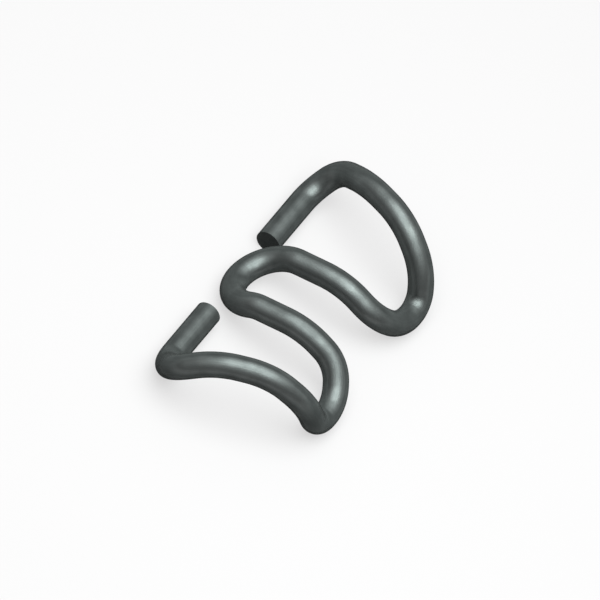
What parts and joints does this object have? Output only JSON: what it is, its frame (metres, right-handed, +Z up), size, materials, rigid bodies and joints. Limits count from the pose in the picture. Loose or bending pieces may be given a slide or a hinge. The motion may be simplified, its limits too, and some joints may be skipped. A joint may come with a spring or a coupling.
{
  "type": "elastic rail clip",
  "caption": "Spring clip bent from a round steel bar into a W; bolted down between its inner legs, it presses a rail's foot with its toes.",
  "frame": {"origin": "on the floor level of heels, nose and toes, under the middle of the clip's outline", "axes": "+X along the rail, +Y from the heels to the nose and toes, +Z up out of the arches"},
  "size_m": [0.1692, 0.0904, 0.0427],
  "materials": {
    "spring_steel": "dark satin, as hot formed, quenched and tempered, smooth and lightly oiled"
  },
  "bodies": {
    "root": {"spring_bar": "spring_steel"}
  },
  "joints": []
}
